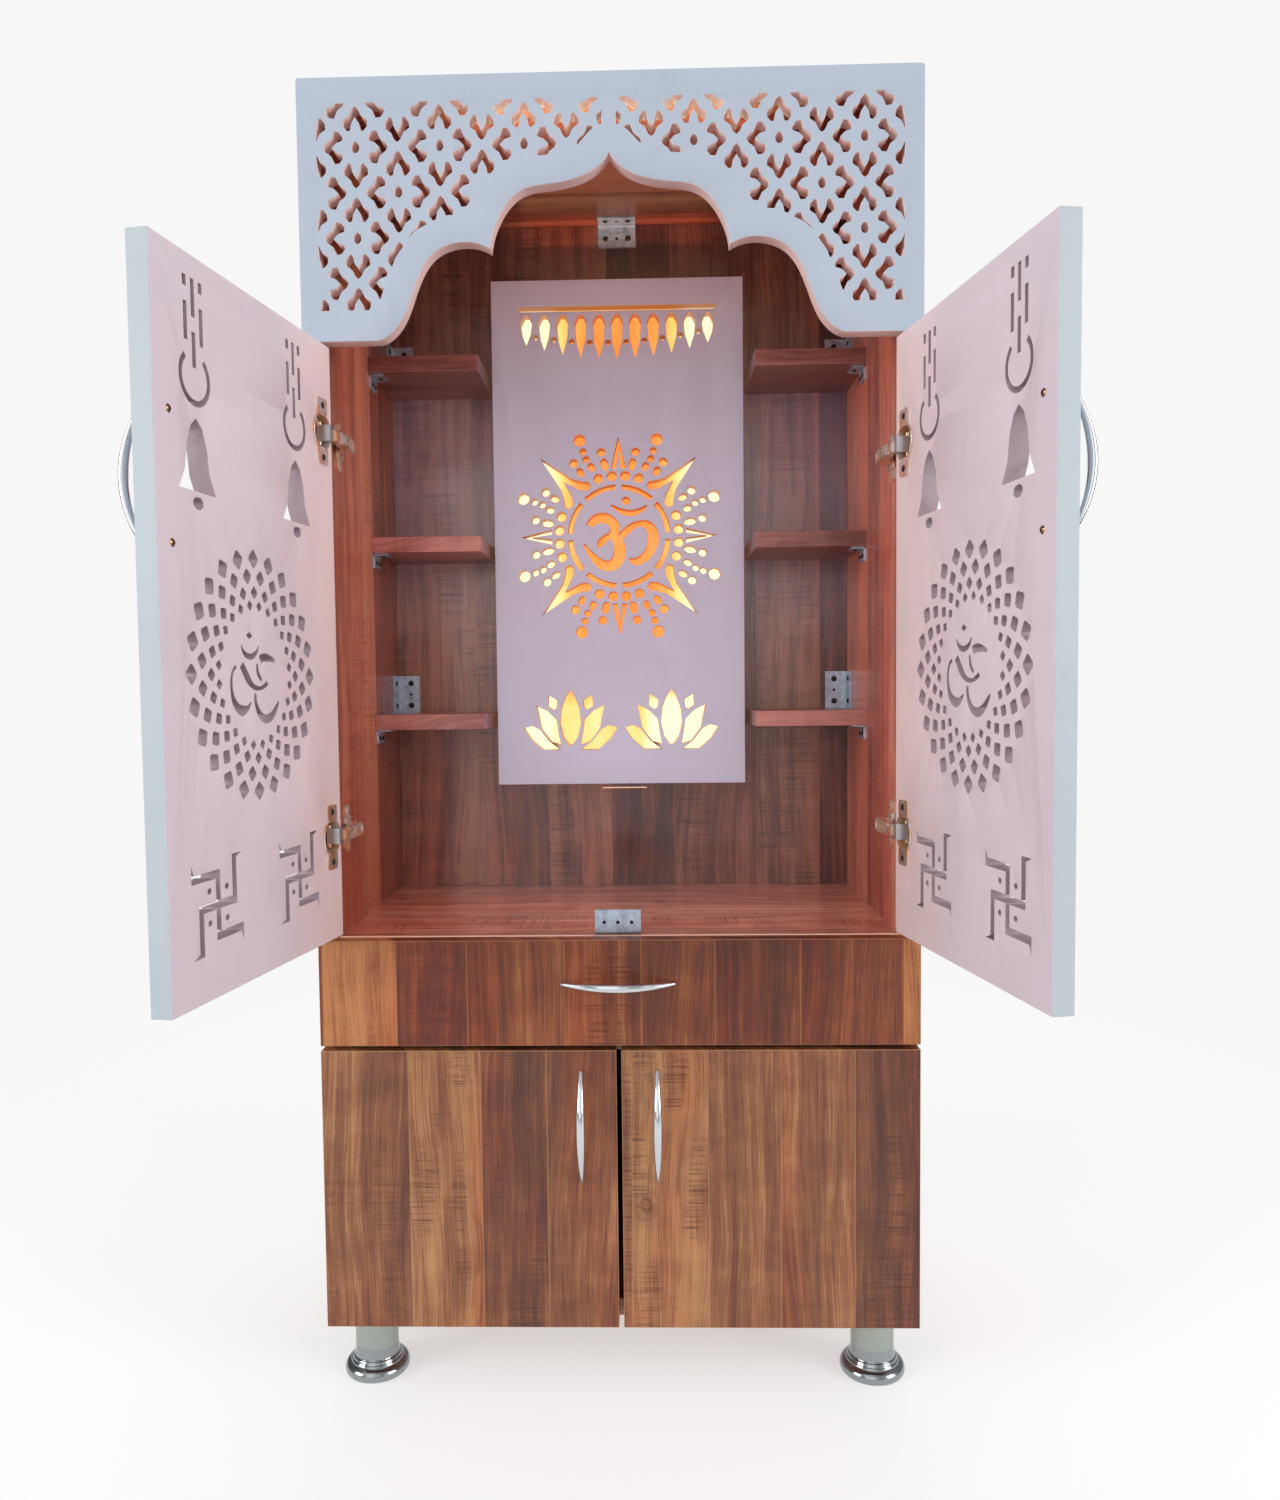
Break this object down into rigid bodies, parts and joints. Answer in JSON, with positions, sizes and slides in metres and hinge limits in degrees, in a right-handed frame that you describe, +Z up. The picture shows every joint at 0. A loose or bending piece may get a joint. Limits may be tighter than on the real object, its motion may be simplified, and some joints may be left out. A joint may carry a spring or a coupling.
{
  "type": "household shrine cabinet",
  "caption": "Tall shrine cabinet on chrome legs with a pierced cusped arch, two pierced swinging doors, a lit panel, side shelves, a drawer and a lower cupboard.",
  "frame": {"origin": "on the floor, under the middle of the space that the object takes up with its shrine doors open", "axes": "+X to the right seen from the front, +Y towards the back, +Z up"},
  "size_m": [0.735, 0.6278, 1.324],
  "materials": {
    "pale_blue_paint": "matte painted board",
    "walnut_laminate": "wood-look laminate",
    "panel_board": "painted board, lit from behind",
    "diffuser": "translucent white sheet",
    "led_strip": "warm white light strip",
    "chrome": "polished chrome",
    "nickel": "nickel plate",
    "zinc_steel": "zinc plate",
    "drawer_ply": "plain board"
  },
  "bodies": {
    "cabinet": {"arch_panel": "pale_blue_paint", "back_left_leg": "chrome", "back_panel": "walnut_laminate", "back_right_leg": "chrome", "base_panel": "walnut_laminate", "corner_brackets": "zinc_steel", "door_stop": "zinc_steel", "drawer_divider": "walnut_laminate", "drawer_rails": "zinc_steel", "front_left_leg": "chrome", "front_right_leg": "chrome", "led_strips": "led_strip", "left_lower_shelf": "walnut_laminate", "left_middle_shelf": "walnut_laminate", "left_side_panel": "walnut_laminate", "left_upper_shelf": "walnut_laminate", "lit_panel": "panel_board", "lit_panel_frame": "drawer_ply", "lower_hinge_arms": "nickel", "panel_diffuser": "diffuser", "right_lower_shelf": "walnut_laminate", "right_middle_shelf": "walnut_laminate", "right_side_panel": "walnut_laminate", "right_upper_shelf": "walnut_laminate", "shelf_supports": "zinc_steel", "shrine_floor": "walnut_laminate", "shrine_hinge_arms": "nickel", "top_panel": "walnut_laminate"},
    "left_shrine_leaf": {"left_shrine_door": "pale_blue_paint", "left_shrine_door_handle": "chrome", "left_shrine_door_hinge_cups": "nickel"},
    "right_shrine_leaf": {"right_shrine_door": "pale_blue_paint", "right_shrine_door_handle": "chrome", "right_shrine_door_hinge_cups": "nickel"},
    "left_lower_leaf": {"left_lower_door": "walnut_laminate", "left_lower_door_handle": "chrome", "left_lower_door_hinge_cups": "nickel"},
    "right_lower_leaf": {"right_lower_door": "walnut_laminate", "right_lower_door_handle": "chrome", "right_lower_door_hinge_cups": "nickel"},
    "drawer": {"drawer_back": "drawer_ply", "drawer_bottom": "drawer_ply", "drawer_front": "walnut_laminate", "drawer_handle": "chrome", "drawer_left_side": "drawer_ply", "drawer_right_side": "drawer_ply", "drawer_slides": "zinc_steel"}
  },
  "joints": [
    {"name": "left_shrine_door_hinge", "type": "hinge", "parent": "cabinet", "child": "left_shrine_leaf", "pos_m": [-0.2932, -0.02507, 0.475], "axis": [0, 0, 1], "range_deg": [0, 99.5]},
    {"name": "right_shrine_door_hinge", "type": "hinge", "parent": "cabinet", "child": "right_shrine_leaf", "pos_m": [0.2932, -0.02507, 0.475], "axis": [0, 0, -1], "range_deg": [0, 99.5]},
    {"name": "left_lower_door_hinge", "type": "hinge", "parent": "cabinet", "child": "left_lower_leaf", "pos_m": [-0.3025, -0.02707, 0.22], "axis": [0, 0, -1], "range_deg": [0, 105]},
    {"name": "right_lower_door_hinge", "type": "hinge", "parent": "cabinet", "child": "right_lower_leaf", "pos_m": [0.3025, -0.02707, 0.22], "axis": [0, 0, 1], "range_deg": [0, 105]},
    {"name": "drawer_slide", "type": "slide", "parent": "cabinet", "child": "drawer", "axis": [0, -1, 0], "range_m": [0, 0.25]}
  ]
}
